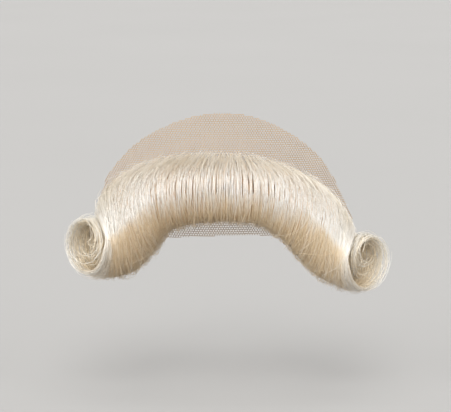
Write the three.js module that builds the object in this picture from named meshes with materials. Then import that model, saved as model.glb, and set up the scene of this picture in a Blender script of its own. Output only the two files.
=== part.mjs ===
// A false moustache: pale hair knotted into an arched panel of fine lace. The hair leaves the
// lace along its root line, falls forward and curls under into one hollow roll, and the roll
// opens as a ring at each end. Millimetres, +Z up, the front faces -Y and +X is the viewer's
// right. The origin is the middle of the lace's back, where the piece sits on the upper lip.
import * as THREE from "three";

// Lace panel.
const FACE_RADIUS = 100; // how round the lace is bent about the upright, to its back
const LACE_WALL = 1.0;
const LACE_COLUMNS = 36; // facets across the panel
const LACE_ROWS = 5; // facets up the panel

// Outline of the lace seen from the front, a row for each station from left to right.
const LACE_OUTLINE = [
  { across: -46, bottom: -10, top: -5 },
  { across: -42, bottom: -13.5, top: 5 },
  { across: -33, bottom: -16.5, top: 15.5 },
  { across: -20, bottom: -17.5, top: 23.5 },
  { across: -8, bottom: -16.8, top: 27.3 },
  { across: 4, bottom: -16.5, top: 27.6 },
  { across: 16, bottom: -17, top: 24 },
  { across: 27, bottom: -20, top: 17.3 },
  { across: 35, bottom: -21.5, top: 9.5 },
  { across: 42, bottom: -20, top: -3 },
  { across: 46, bottom: -18, top: -12 },
];

// Hair. The sheet of hair is one strip that follows the fall from the root, down over the front,
// under, up the back and over again inside itself.
const HAIR_WALL = { root: 1.2, front: 2.2, tip: 1.4 };
const ROOT_PROUD = 1.1; // how far the outer side of the hair starts in front of the lace
const ROOT_REACH = 0.42; // how far the root's and the join's directions carry, as shares of the fall
const JOIN_ANGLE = 66; // degrees round from the top where the fall meets the roll
const JOIN_NUDGE = 1; // degrees past the join at which the roll's direction is taken
const TIP_ANGLE = 392; // degrees round from the top where the strip ends, inside its own front
const SECTION_TILT = 0.35; // how far the sections tilt with the middle line, as a share of its slope
const FALL_STEPS = 6; // facets down the fall
const ROLL_STEPS = 19; // facets round the roll

// Middle line and section of the roll, a row for each section from the left end to the right.
// x, y and z are the roll's centre, deep and tall its half sizes over the hair, turn the degrees
// that its axis is turned in plan, tip the roll's size at the tip as a share of its size at the
// front, rootX and rootZ the place on the lace where that section's hair is knotted, and lean the
// degrees below level at which it leaves the lace.
const ROLL_SECTIONS = [
  { x: -48.8, y: -7.6, z: -18.7, deep: 10, tall: 10.3, turn: 42, tip: 0.94, rootX: -42.6, rootZ: -6, lean: 0 },
  { x: -44.9, y: -4.6, z: -19.4, deep: 9.8, tall: 10.7, turn: 25, tip: 0.9, rootX: -42.2, rootZ: -3.8, lean: 6 },
  { x: -40, y: -3.6, z: -19.6, deep: 9.4, tall: 11.1, turn: 9, tip: 0.85, rootX: -41.2, rootZ: -1.2, lean: 14 },
  { x: -35, y: -4.3, z: -17.9, deep: 9, tall: 11.3, turn: -4, tip: 0.8, rootX: -39, rootZ: 1.8, lean: 24 },
  { x: -29.6, y: -5.8, z: -13.2, deep: 8.6, tall: 11, turn: -10, tip: 0.77, rootX: -35.5, rootZ: 5, lean: 34 },
  { x: -22.8, y: -7.6, z: -5.2, deep: 8.2, tall: 10.2, turn: -10, tip: 0.76, rootX: -27, rootZ: 9, lean: 42 },
  { x: -12.7, y: -9.2, z: -1.6, deep: 8, tall: 9.9, turn: -6, tip: 0.76, rootX: -14, rootZ: 12.6, lean: 48 },
  { x: 0, y: -9.8, z: -0.7, deep: 8, tall: 9.9, turn: 0, tip: 0.76, rootX: 0, rootZ: 13, lean: 50 },
  { x: 12.7, y: -9.2, z: -1.9, deep: 8, tall: 9.9, turn: 6, tip: 0.76, rootX: 13.5, rootZ: 11, lean: 48 },
  { x: 22.4, y: -7.6, z: -7.6, deep: 8.2, tall: 10.4, turn: 10, tip: 0.76, rootX: 26, rootZ: 5.6, lean: 42 },
  { x: 29.4, y: -5.8, z: -14.8, deep: 8.6, tall: 10.8, turn: 10, tip: 0.77, rootX: 33, rootZ: 0.8, lean: 34 },
  { x: 34.8, y: -4.3, z: -20.4, deep: 9, tall: 10.9, turn: 4, tip: 0.8, rootX: 37.2, rootZ: -3.8, lean: 24 },
  { x: 39.8, y: -3.6, z: -23.4, deep: 9.3, tall: 10.5, turn: -9, tip: 0.85, rootX: 39.8, rootZ: -7.8, lean: 14 },
  { x: 44.6, y: -4.6, z: -24.6, deep: 9.6, tall: 10.1, turn: -25, tip: 0.9, rootX: 41.2, rootZ: -11.2, lean: 6 },
  { x: 49, y: -7.4, z: -24.4, deep: 9.7, tall: 9.8, turn: -41, tip: 0.94, rootX: 42, rootZ: -13.6, lean: 0 },
];

// Where the roll is parted into its three pieces, as shares of the way from left to right.
const LEFT_PARTING = 0.272;
const RIGHT_PARTING = 0.728;
const LOOSE_END = 0.1; // share of the way in from each end that is a loose ring
const PARTING_GAP = 0.6; // clear space between neighbouring pieces of hair
const CENTRE_SECTIONS = 26;
const CURL_SECTIONS = 17;
const NEIGHBOUR = 0.004; // share of the way along at which a line's neighbours are taken

const UP = new THREE.Vector3(0, 0, 1);

const laceFinish = () => new THREE.MeshStandardMaterial({ color: 0xbd9a72, roughness: 0.85, metalness: 0 });
const hairFinish = () => new THREE.MeshStandardMaterial({ color: 0xe3d6bd, roughness: 0.45, metalness: 0 });

// A smooth curve through one table's rows, made from three of its columns.
function curveThrough(rows, pick) {
  return new THREE.CatmullRomCurve3(rows.map((row) => new THREE.Vector3(...pick(row))), false, "centripetal");
}

const centreCurve = curveThrough(ROLL_SECTIONS, (row) => [row.x, row.y, row.z]);
const sizeCurve = curveThrough(ROLL_SECTIONS, (row) => [row.deep, row.tall, row.tip]);
const angleCurve = curveThrough(ROLL_SECTIONS, (row) => [row.turn, row.lean, 0]);
const rootCurve = curveThrough(ROLL_SECTIONS, (row) => [row.rootX, 0, row.rootZ]);
const outlineTop = curveThrough(LACE_OUTLINE, (row) => [row.across, 0, row.top]);
const outlineBottom = curveThrough(LACE_OUTLINE, (row) => [row.across, 0, row.bottom]);

// The point of the bent panel that faces (across, up) from the front, proud of the lace's back.
function onFace(across, up, proud) {
  const turn = Math.asin(across / FACE_RADIUS);
  const reach = FACE_RADIUS + proud;
  return new THREE.Vector3(reach * Math.sin(turn), FACE_RADIUS - reach * Math.cos(turn), up);
}

// A closed geometry from a sheet of cells. Each column holds the points of its outer and inner side
// in the same order, cells join neighbouring columns and steps, and a rim closes the two sides
// along every edge of the cells that the sheet has.
function sheetGeometry(columns, hasCell) {
  const steps = columns[0].outer.length;
  const positions = [];
  for (const { outer, inner } of columns) {
    for (const point of [...outer, ...inner]) positions.push(point.x, point.y, point.z);
  }
  const outerAt = (column, step) => 2 * steps * column + step;
  const innerAt = (column, step) => outerAt(column, step) + steps;
  const present = (column, step) =>
    column >= 0 && step >= 0 && column < columns.length - 1 && step < steps - 1 && hasCell(column, step);
  const index = [];
  const quad = (a, b, c, d) => index.push(a, b, c, a, c, d);
  const rim = (from, to) => quad(outerAt(...to), outerAt(...from), innerAt(...from), innerAt(...to));
  for (let column = 0; column < columns.length - 1; column++) {
    for (let step = 0; step < steps - 1; step++) {
      if (!present(column, step)) continue;
      const corners = [[column, step], [column, step + 1], [column + 1, step + 1], [column + 1, step]];
      quad(...corners.map((corner) => outerAt(...corner)));
      quad(...corners.map((corner) => innerAt(...corner)).reverse());
      if (!present(column - 1, step)) rim(corners[0], corners[1]);
      if (!present(column, step + 1)) rim(corners[1], corners[2]);
      if (!present(column + 1, step)) rim(corners[2], corners[3]);
      if (!present(column, step - 1)) rim(corners[3], corners[0]);
    }
  }
  const used = [...new Set(index)].sort((a, b) => a - b);
  const renumbered = new Map(used.map((old, fresh) => [old, fresh]));
  const geometry = new THREE.BufferGeometry();
  const kept = used.flatMap((old) => positions.slice(3 * old, 3 * old + 3));
  geometry.setAttribute("position", new THREE.Float32BufferAttribute(kept, 3));
  geometry.setIndex(index.map((old) => renumbered.get(old)));
  geometry.computeVertexNormals();
  return geometry;
}

// The lace: columns of points up the front and the back of the bent panel.
function laceGeometry() {
  const columns = [];
  for (let column = 0; column <= LACE_COLUMNS; column++) {
    const share = column / LACE_COLUMNS;
    const high = outlineTop.getPoint(share);
    const low = outlineBottom.getPoint(share);
    const outer = [];
    const inner = [];
    for (let row = 0; row <= LACE_ROWS; row++) {
      const place = new THREE.Vector3().lerpVectors(high, low, row / LACE_ROWS);
      outer.push(onFace(place.x, place.z, LACE_WALL));
      inner.push(onFace(place.x, place.z, 0));
    }
    columns.push({ outer, inner });
  }
  return sheetGeometry(columns, () => true);
}

// Outer line of the strip of hair at one share of the way along the roll: the fall from the root
// to the join, then round the roll to the tip. Each step has its point and the hair's thickness.
function hairLine(share) {
  const centre = centreCurve.getPoint(share);
  const angles = angleCurve.getPoint(share);
  const turn = THREE.MathUtils.degToRad(angles.x);
  const tilt = SECTION_TILT * Math.asin(centreCurve.getTangent(share).z);
  const along = new THREE.Vector3(
    Math.cos(tilt) * Math.cos(turn),
    Math.cos(tilt) * Math.sin(turn),
    Math.sin(tilt),
  );
  const rise = UP.clone().addScaledVector(along, -UP.dot(along)).normalize();
  const forward = new THREE.Vector3().crossVectors(along, rise).normalize();
  const size = sizeCurve.getPoint(share);
  const knot = rootCurve.getPoint(share);

  const aroundRoll = (degrees, scale) => {
    const angle = THREE.MathUtils.degToRad(degrees);
    return centre.clone()
      .addScaledVector(forward, scale * size.x * Math.sin(angle))
      .addScaledVector(rise, scale * size.y * Math.cos(angle));
  };

  const lean = THREE.MathUtils.degToRad(angles.y);
  const root = onFace(knot.x, knot.z, LACE_WALL + ROOT_PROUD);
  const outward = root.clone().sub(onFace(knot.x, knot.z, 0)).normalize();
  const leaving = outward.multiplyScalar(Math.cos(lean)).addScaledVector(UP, -Math.sin(lean));
  const join = aroundRoll(JOIN_ANGLE, 1);
  const arriving = aroundRoll(JOIN_ANGLE + JOIN_NUDGE, 1).sub(join).normalize();
  const reach = ROOT_REACH * root.distanceTo(join);
  const fall = new THREE.CubicBezierCurve3(
    root,
    root.clone().addScaledVector(leaving, reach),
    join.clone().addScaledVector(arriving, -reach),
    join,
  );

  const steps = [];
  for (let step = 0; step < FALL_STEPS; step++) {
    const part = step / FALL_STEPS;
    steps.push({
      point: fall.getPoint(part),
      thick: THREE.MathUtils.lerp(HAIR_WALL.root, HAIR_WALL.front, part),
    });
  }
  for (let step = 0; step <= ROLL_STEPS; step++) {
    const part = step / ROLL_STEPS;
    const degrees = THREE.MathUtils.lerp(JOIN_ANGLE, TIP_ANGLE, part);
    steps.push({
      point: aroundRoll(degrees, THREE.MathUtils.lerp(1, size.z, part)),
      thick: THREE.MathUtils.lerp(HAIR_WALL.front, HAIR_WALL.tip, part),
    });
  }
  return steps;
}

// The strip's two sides at one share of the way along the roll, square to the sheet of hair that
// the neighbouring lines make with it.
function hairSection(share) {
  const steps = hairLine(share);
  const leftward = hairLine(Math.max(share - NEIGHBOUR, 0));
  const rightward = hairLine(Math.min(share + NEIGHBOUR, 1));
  const outer = [];
  const inner = [];
  steps.forEach(({ point, thick }, k) => {
    const before = steps[Math.max(k - 1, 0)].point;
    const after = steps[Math.min(k + 1, steps.length - 1)].point;
    const running = after.clone().sub(before);
    const across = rightward[k].point.clone().sub(leftward[k].point);
    const away = running.cross(across).normalize();
    outer.push(point);
    inner.push(point.clone().addScaledVector(away, -thick));
  });
  return { outer, inner };
}

// One piece of the roll between two shares of its length. Past the lace's corners the hair has no
// fall and is only the ring.
function hairGeometry(from, to, count) {
  const shareAt = (section) => THREE.MathUtils.lerp(from, to, section / (count - 1));
  const sections = [];
  for (let section = 0; section < count; section++) sections.push(hairSection(shareAt(section)));
  const falls = (section) => {
    const middle = (shareAt(section) + shareAt(section + 1)) / 2;
    return middle > LOOSE_END && middle < 1 - LOOSE_END;
  };
  return sheetGeometry(sections, (section, step) => step >= FALL_STEPS || falls(section));
}

function piece(name, geometry, finish) {
  const mesh = new THREE.Mesh(geometry, finish);
  mesh.name = name;
  return mesh;
}

const halfGap = PARTING_GAP / 2 / centreCurve.getLength();
const leftCurl = hairGeometry(0, LEFT_PARTING - halfGap, CURL_SECTIONS);
const centreRoll = hairGeometry(LEFT_PARTING + halfGap, RIGHT_PARTING - halfGap, CENTRE_SECTIONS);
const rightCurl = hairGeometry(RIGHT_PARTING + halfGap, 1, CURL_SECTIONS);
const moustache = new THREE.Group();
moustache.name = "fake_moustache";
moustache.add(
  piece("lace_base", laceGeometry(), laceFinish()),
  piece("left_curl", leftCurl, hairFinish()),
  piece("centre_roll", centreRoll, hairFinish()),
  piece("right_curl", rightCurl, hairFinish()),
);

export default moustache;
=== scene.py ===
"""Looks of a false moustache.

Pale hair is knotted into a bent panel of fine net, falls forward from it and curls under into one
hollow roll, which opens as a ring at each end. Metres, +Z up, and the front faces -Y.
"""
import logging
import math
from dataclasses import dataclass, field, replace
from enum import Enum
from typing import Any

import bpy
import numpy as np
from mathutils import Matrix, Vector


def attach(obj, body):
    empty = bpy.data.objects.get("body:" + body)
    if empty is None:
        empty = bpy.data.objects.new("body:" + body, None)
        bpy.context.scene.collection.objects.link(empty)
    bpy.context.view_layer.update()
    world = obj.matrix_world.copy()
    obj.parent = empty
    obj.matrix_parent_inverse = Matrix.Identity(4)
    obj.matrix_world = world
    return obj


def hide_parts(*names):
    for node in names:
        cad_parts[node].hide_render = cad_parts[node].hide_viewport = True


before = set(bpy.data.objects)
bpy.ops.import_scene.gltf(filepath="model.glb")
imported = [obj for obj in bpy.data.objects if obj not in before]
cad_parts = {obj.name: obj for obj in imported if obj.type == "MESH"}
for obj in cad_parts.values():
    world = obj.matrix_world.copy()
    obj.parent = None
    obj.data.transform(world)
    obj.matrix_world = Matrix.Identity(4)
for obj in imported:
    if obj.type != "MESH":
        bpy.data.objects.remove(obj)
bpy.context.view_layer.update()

MM = 0.001
UP = np.array([0.0, 0.0, 1.0])
ROOT_BODY = "root"
COARSE_DETAIL = 2.0
FINE_DETAIL = 3.0
TUBE_SIDES = 3
HAIR_VALUES = ("tone", "layer", "inside")

Array = np.ndarray
Pair = tuple[float, float]
Random = np.random.Generator
Material = bpy.types.Material
Piece = bpy.types.Object
Colour = tuple[float, float, float]
LOG = logging.getLogger("moustache")


def unit(vectors: Array) -> Array:
    """The same directions with length one, where the last axis holds x, y and z."""
    return vectors / np.linalg.norm(vectors, axis=-1, keepdims=True)


def ease(low: float, high: float, values: Array) -> Array:
    """A smooth step of the values, which is 0 up to low and 1 from high on."""
    part = np.clip((values - low) / (high - low), 0, 1)
    return part * part * (3 - 2 * part)


class RowCurve:
    """A smooth curve through a table's rows, read at shares of the way from the first to the last."""

    def __init__(self, rows: Array) -> None:
        """Keeps the rows and adds one mirrored row at each end.

        Args:
            rows: a row for each point, a column for each value.
        """
        before = 2 * rows[:1] - rows[1:2]
        after = 2 * rows[-1:] - rows[-2:-1]
        self.rows = np.concatenate([before, rows, after])
        self.spans = len(rows) - 1

    def at(self, shares: Array) -> Array:
        """Reads the curve.

        Args:
            shares: shares of the way, from 0 to 1, in any array shape.

        Returns:
            The columns' values, on one more axis at the end.
        """
        place = np.clip(shares, 0, 1) * self.spans
        span = np.minimum(place.astype(int), self.spans - 1)
        part = (place - span)[..., None]
        before, start, end, after = (self.rows[span + step] for step in range(4))
        bend = 2 * before - 5 * start + 4 * end - after
        twist = 3 * (start - end) + after - before
        return start + 0.5 * part * (end - before + part * (bend + part * twist))


class Value:
    """A node's output, which sums, differences and products can be written with."""

    def __init__(self, graph: "NodeGraph", socket: bpy.types.NodeSocket) -> None:
        """Wraps a socket of a graph."""
        self.graph = graph
        self.socket = socket

    def maths(self, operation: str, first: Any, second: Any) -> "Value":
        """Adds a Math node for an operation on two numbers or values."""
        return self.graph.node("ShaderNodeMath", {"operation": operation}, {0: first, 1: second})

    def __add__(self, other: Any) -> "Value":
        """This value plus another."""
        return self.maths("ADD", self, other)

    __radd__ = __add__

    def __sub__(self, other: Any) -> "Value":
        """This value less another."""
        return self.maths("SUBTRACT", self, other)

    def __rsub__(self, other: Any) -> "Value":
        """Another value less this one."""
        return self.maths("SUBTRACT", other, self)

    def __mul__(self, other: Any) -> "Value":
        """This value times another."""
        return self.maths("MULTIPLY", self, other)

    __rmul__ = __mul__

    def clamped(self) -> "Value":
        """This value held between 0 and 1."""
        return self.graph.node("ShaderNodeClamp", {}, {"Value": self})


class NodeGraph:
    """A node tree that is built by calls."""

    def __init__(self, tree: bpy.types.NodeTree) -> None:
        """Starts from an empty tree."""
        self.tree = tree
        self.tree.nodes.clear()

    def node(self, kind: str, settings: dict[str, Any], inputs: dict[Any, Any], output: Any = 0) -> Value:
        """Adds a node.

        Args:
            kind: the node's type.
            settings: its properties, which are set first.
            inputs: numbers, colours, materials or values by socket identifier, name or place.
            output: identifier, name or place of the output that is returned.

        Returns:
            The chosen output, or the node's own wrapper with no socket where it has none.
        """
        made = self.tree.nodes.new(kind)
        for name, setting in settings.items():
            setattr(made, name, setting)
        for key, given in inputs.items():
            socket = self.find(made.inputs, key)
            if isinstance(given, Value):
                self.tree.links.new(given.socket, socket)
            else:
                socket.default_value = given
        return Value(self, self.find(made.outputs, output) if len(made.outputs) else None)

    @staticmethod
    def find(sockets: Any, key: Any) -> bpy.types.NodeSocket:
        """Finds a socket.

        Args:
            sockets: a node's inputs or outputs.
            key: the socket's place, identifier or name.

        Returns:
            The first socket that fits.
        """
        if isinstance(key, int):
            return sockets[key]
        by_identifier = [socket for socket in sockets if socket.identifier == key]
        return by_identifier[0] if by_identifier else sockets[key]

    def attribute(self, name: str) -> Value:
        """A number that the piece's mesh holds under a name."""
        return self.node("ShaderNodeAttribute", {"attribute_name": name}, {}, "Fac")

    def noise(self, scale: float, detail: float) -> Value:
        """Noise about 0.5 in the piece's own coordinates, with scale blots to a metre."""
        place = self.node("ShaderNodeTexCoord", {}, {}, "Object")
        return self.node("ShaderNodeTexNoise", {}, {
            "Vector": place, "Scale": scale, "Detail": detail,
        }, "Fac")

    def mixed(self, first: Any, second: Any, factor: Any) -> Value:
        """Mixes two colours.

        Args:
            first: colour or value at factor 0.
            second: colour or value at factor 1.
            factor: number or value.

        Returns:
            The mixed colour.
        """
        start, end = (opaque(one) if isinstance(one, tuple) else one for one in (first, second))
        sockets = {"Factor_Float": factor, "A_Color": start, "B_Color": end}
        return self.node("ShaderNodeMix", {"data_type": "RGBA"}, sockets, "Result_Color")


def placed(name: str, data: Any) -> Piece:
    """Puts an object into the scene.

    Args:
        name: the object's name.
        data: its mesh, lamp or camera.

    Returns:
        The object, at the origin.
    """
    made = bpy.data.objects.new(name, data)
    bpy.context.scene.collection.objects.link(made)
    return made


def opaque(colour: Colour) -> tuple[float, float, float, float]:
    """A colour with full alpha, as a colour socket takes it."""
    return (*colour, 1.0)


def surface_material(name: str) -> tuple[Material, NodeGraph]:
    """Starts a material.

    Args:
        name: the finish's name.

    Returns:
        The material and its empty graph.
    """
    material = bpy.data.materials.new(name)
    material.use_nodes = True
    return material, NodeGraph(material.node_tree)


def close_material(graph: NodeGraph, sockets: dict[str, Any]) -> None:
    """Ends a material in one surface shader with these values by socket name."""
    shader = graph.node("ShaderNodeBsdfPrincipled", {}, sockets, "BSDF")
    graph.node("ShaderNodeOutputMaterial", {}, {"Surface": shader})


@dataclass(frozen=True)
class HairFinish:
    """Pale ivory hair with painted shade: darker in its deeper layers, tan under the roll, warm in its
    gaps and inside the roll, and warmer at the roots.
    """

    ivory: Colour = (0.93, 0.90, 0.84)
    straw: Colour = (0.78, 0.68, 0.52)
    cloud_scale: float = 160.0
    cloud_share: float = 0.4
    tone_share: float = 0.8
    # Painted shade: how much darker the tone is in the deepest layer.
    tone_shade_with_depth: float = 0.4
    tone_drop: float = 0.05
    # Painted shade: warm tan colours for the shade under the roll, which start part way round it and keep
    # only a small share near the rings' ends.
    painted_shade_pale: Colour = (0.83, 0.67, 0.45)
    painted_shade_dark: Colour = (0.69, 0.53, 0.32)
    painted_shade_start: float = 0.314
    painted_shade_gain: float = 11.0
    painted_shade_at_ends: float = 0.12
    ring_gain: float = 1.7
    # Past the tan, towards the tips, the hair's own pale colour comes back. Its deeper layers take a
    # painted warm shade for the shade inside the roll.
    tail: Colour = (0.93, 0.88, 0.78)
    tail_painted_shade: Colour = (0.96, 0.82, 0.60)
    tail_start: float = 0.6
    tail_gain: float = 11.0
    tail_shade_gain: float = 1.6
    # Painted shade: a warm brown for the shade in the gaps between locks, given to the deeper layers at
    # the front of the roll, away from the rings.
    gap_painted_shade: Colour = (0.90, 0.56, 0.26)
    gap_shade_start: float = 0.05
    gap_shade_gain: float = 3.6
    gap_shade_share: float = 0.85
    gap_shade_end: float = 0.56
    gap_shade_fade: float = 6.0
    centre_gain: float = 8.0
    # Painted shade at the roots: a darker, warmer colour mixed in where the hairs leave the net.
    root_shade: Colour = (0.83, 0.70, 0.49)
    root_shade_share: float = 0.65
    root_shade_reach: float = 4.4
    roughness: float = 0.34
    roughness_spread: float = 0.14
    roughness_scale: float = 900.0
    ior: float = 1.55
    sheen_ior: float = 3.7
    sheen_depth: float = 3.0
    sheen_lost: float = 0.85

    def material(self) -> Material:
        """Makes the material.

        Returns:
            A material that reads each hair's tone, layer, length and way from the ring.
        """
        made, graph = surface_material("ivory_hair")
        tone, layer, inside = (graph.attribute(name) for name in HAIR_VALUES)
        along = graph.attribute("along")
        clouded = tone * self.tone_share + graph.noise(self.cloud_scale, COARSE_DETAIL) * self.cloud_share
        # Painted shade: the tone darkens with the layer's depth in the wall.
        bright = (clouded - layer * self.tone_shade_with_depth - self.tone_drop).clamped()
        front = graph.mixed(self.straw, self.ivory, bright)
        # Painted shade: a tan copy of the hair's colour for the shade under the roll, mixed in from a
        # point round it on and kept small near the rings' ends.
        under = graph.mixed(self.painted_shade_dark, self.painted_shade_pale, bright)
        past_ring = (inside * self.ring_gain).clamped()
        begun = ((along - self.painted_shade_start) * self.painted_shade_gain).clamped()
        painted_shade_share = begun * (past_ring * (1 - self.painted_shade_at_ends) + self.painted_shade_at_ends)
        body = graph.mixed(front, under, painted_shade_share)
        # Painted shade inside the roll: the tail's deeper layers turn warm, less so near the rings' ends.
        tail = graph.mixed(self.tail, self.tail_painted_shade, (layer * past_ring * self.tail_shade_gain).clamped())
        own = graph.mixed(body, tail, ((along - self.tail_start) * self.tail_gain).clamped())
        # Painted shade in the gaps between locks: deeper layers at the front, away from the rings, turn
        # warm brown.
        in_front = ((self.gap_shade_end - along) * self.gap_shade_fade).clamped()
        at_centre = (inside * self.centre_gain - (self.centre_gain - 1)).clamped()
        deep = ((layer - self.gap_shade_start) * self.gap_shade_gain).clamped() * in_front * at_centre
        with_gap_shade = graph.mixed(own, self.gap_painted_shade, deep * self.gap_shade_share)
        # Painted shade at the roots, fading along each hair.
        near_root_shade = (1 - along * self.root_shade_reach).clamped() * self.root_shade_share
        uneven = graph.noise(self.roughness_scale, FINE_DETAIL) * self.roughness_spread
        # The coat is taken off the deeper layers and off the painted shade under the roll, so that the
        # painted shade stays warm.
        sheen = (1 - layer * past_ring * self.sheen_depth).clamped() * (1 - painted_shade_share * self.sheen_lost)
        close_material(graph, {
            "Base Color": graph.mixed(with_gap_shade, self.root_shade, near_root_shade),
            "Roughness": uneven + (self.roughness - self.roughness_spread / 2),
            "IOR": self.ior,
            "Coat Weight": sheen,
            "Coat Roughness": self.roughness,
            "Coat IOR": self.sheen_ior,
        })
        return made


@dataclass(frozen=True)
class NetFinish:
    """Fine tan net of twisted thread."""

    thread: Colour = (0.44, 0.29, 0.16)
    faded: Colour = (0.54, 0.38, 0.22)
    faded_scale: float = 110.0
    roughness: float = 0.72
    twist: float = 0.25
    twist_depth: float = 0.05 * MM
    twist_scale: float = 6000.0

    def material(self) -> Material:
        """Makes the material.

        Returns:
            A material with faded blots and a fine twist.
        """
        made, graph = surface_material("tan_net")
        faded = graph.noise(self.faded_scale, FINE_DETAIL)
        bump = graph.node("ShaderNodeBump", {}, {
            "Strength": self.twist,
            "Distance": self.twist_depth,
            "Height": graph.noise(self.twist_scale, COARSE_DETAIL),
        })
        close_material(graph, {
            "Base Color": graph.mixed(self.thread, self.faded, faded),
            "Roughness": self.roughness,
            "Normal": bump,
        })
        return made


@dataclass(frozen=True)
class FloorFinish:
    """Pale matt paper."""

    light: Colour = (0.37, 0.364, 0.355)
    dim: Colour = (0.355, 0.349, 0.34)
    blot_scale: float = 3.0
    roughness: float = 0.9

    def material(self) -> Material:
        """Makes the material.

        Returns:
            A nearly even pale material.
        """
        made, graph = surface_material("pale_floor")
        blots = graph.noise(self.blot_scale, COARSE_DETAIL)
        close_material(graph, {
            "Base Color": graph.mixed(self.light, self.dim, blots),
            "Roughness": self.roughness,
        })
        return made


@dataclass
class Paths:
    """Many paths of equally many points, each the middle line of a hair or a thread."""

    points: Array
    radius: Array
    along: Array
    tone: Array
    layer: Array
    inside: Array


class PieceTree:
    """A geometry tree that is built once and makes pieces, from points or paths, a size and a finish."""

    def __init__(self, name: str, start: str, size: str, size_type: str) -> None:
        """Starts the tree with its named inputs.

        Args:
            name: the tree's name.
            start: name of the input that holds the points or paths.
            size: name of the input that holds the size.
            size_type: the size's socket type.
        """
        self.tree = bpy.data.node_groups.new(name, "GeometryNodeTree")
        face = self.tree.interface
        inputs = ((start, "NodeSocketGeometry"), (size, size_type), ("Finish", "NodeSocketMaterial"))
        made = [face.new_socket(title, in_out="INPUT", socket_type=kind) for title, kind in inputs]
        self.identifiers = [socket.identifier for socket in made]
        face.new_socket("Piece", in_out="OUTPUT", socket_type="NodeSocketGeometry")
        self.graph = NodeGraph(self.tree)
        given = self.tree.nodes.new("NodeGroupInput")
        self.start, self.size, self.finish = (Value(self.graph, socket) for socket in given.outputs[:3])

    def close(self, shapes: Value) -> None:
        """Ends the tree.

        Args:
            shapes: the geometry that becomes the piece.
        """
        smooth = self.graph.node("GeometryNodeSetShadeSmooth", {}, {"Geometry": shapes})
        real = self.graph.node("GeometryNodeRealizeInstances", {}, {"Geometry": smooth})
        sockets = {"Geometry": real, "Material": self.finish}
        dressed = self.graph.node("GeometryNodeSetMaterial", {}, sockets)
        self.graph.node("NodeGroupOutput", {}, {0: dressed})

    @staticmethod
    def point_mesh(name: str, points: Array, values: dict[str, Array]) -> bpy.types.Mesh:
        """Makes a mesh of points.

        Args:
            name: the mesh's name.
            points: the points' places.
            values: numbers for each point, by attribute name.

        Returns:
            The mesh.
        """
        mesh = bpy.data.meshes.new(name)
        mesh.vertices.add(len(points))
        mesh.vertices.foreach_set("co", points.astype(np.float32).ravel())
        for title, numbers in values.items():
            kept = mesh.attributes.new(title, "FLOAT", "POINT")
            kept.data.foreach_set("value", numbers.astype(np.float32))
        return mesh

    def run(self, name: str, source: bpy.types.Mesh, size: Any, finish: Material) -> Piece:
        """Runs the tree on a mesh and keeps its result as a plain mesh.

        Args:
            name: the finished object's name.
            source: the mesh that the tree starts from.
            size: the tree's size.
            finish: the piece's material.

        Returns:
            An object at the origin with no modifier.
        """
        made = placed(name, source)
        modifier = made.modifiers.new(self.tree.name, "NODES")
        modifier.node_group = self.tree
        for identifier, given in zip(self.identifiers[1:], (size, finish)):
            modifier[identifier] = given
        depsgraph = bpy.context.evaluated_depsgraph_get()
        plain = bpy.data.meshes.new_from_object(made.evaluated_get(depsgraph), depsgraph=depsgraph)
        made.modifiers.remove(modifier)
        made.data = plain
        plain.name = name
        bpy.data.meshes.remove(source)
        return made


class PathTubes(PieceTree):
    """Makes closed tubes along paths."""

    def __init__(self) -> None:
        """Builds the tree: edges to curves, curves to tubes with closed ends."""
        super().__init__("tubes_along_paths", "Paths", "Sides", "NodeSocketInt")
        graph = self.graph
        curves = graph.node("GeometryNodeMeshToCurve", {}, {"Mesh": self.start})
        ring = graph.node("GeometryNodeCurvePrimitiveCircle", {}, {"Resolution": self.size, "Radius": 1.0})
        thick = graph.node("GeometryNodeInputNamedAttribute", {}, {"Name": "thickness"})
        self.close(graph.node("GeometryNodeCurveToMesh", {}, {
            "Curve": curves, "Profile Curve": ring, "Scale": thick, "Fill Caps": True,
        }))

    def make(self, name: str, sets: list[Paths], finish: Material) -> Piece:
        """Makes one piece.

        Args:
            name: the piece's name.
            sets: the middle lines, in sets of equally many points.
            finish: the piece's material.

        Returns:
            An object with a plain mesh.
        """
        points, edges = [], []
        values: dict[str, list[Array]] = {title: [] for title in ("thickness", "along", *HAIR_VALUES)}
        count = 0
        for paths in sets:
            shape = number, steps = paths.points.shape[:2]
            corner = count + np.arange(number * steps).reshape(shape)
            count += corner.size
            points.append(paths.points.reshape(-1, 3))
            edges.append(np.stack([corner[:, :-1], corner[:, 1:]], axis=-1).ravel())
            values["thickness"].append(paths.radius.ravel())
            values["along"].append(paths.along.ravel())
            for title in HAIR_VALUES:
                values[title].append(np.repeat(getattr(paths, title), steps))
        joined = {title: np.concatenate(numbers) for title, numbers in values.items()}
        lines = self.point_mesh(name + "_paths", np.concatenate(points), joined)
        ends = np.concatenate(edges).astype(np.int32)
        lines.edges.add(len(ends) // 2)
        lines.edges.foreach_set("vertices", ends)
        return self.run(name, lines, TUBE_SIDES, finish)


class KnotDots(PieceTree):
    """Makes small knots at points."""

    def __init__(self) -> None:
        """Builds the tree: a small ball on each point, sized by the point's own attribute."""
        super().__init__("knots_on_points", "Points", "Radius", "NodeSocketFloat")
        graph = self.graph
        places = graph.node("GeometryNodeMeshToPoints", {}, {"Mesh": self.start})
        ball = graph.node("GeometryNodeMeshIcoSphere", {}, {"Radius": self.size, "Subdivisions": 1})
        share = graph.node("GeometryNodeInputNamedAttribute", {}, {"Name": "thickness"})
        self.close(graph.node("GeometryNodeInstanceOnPoints", {}, {
            "Points": places, "Instance": ball, "Scale": share,
        }))

    def make(self, name: str, places: Array, sizes: Array, radius: float,
             finish: Material) -> Piece:
        """Makes one piece from knots' middles, each one's share of the radius, a radius and a finish."""
        dots = self.point_mesh(name + "_points", places, {"thickness": sizes})
        return self.run(name, dots, radius, finish)


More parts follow.
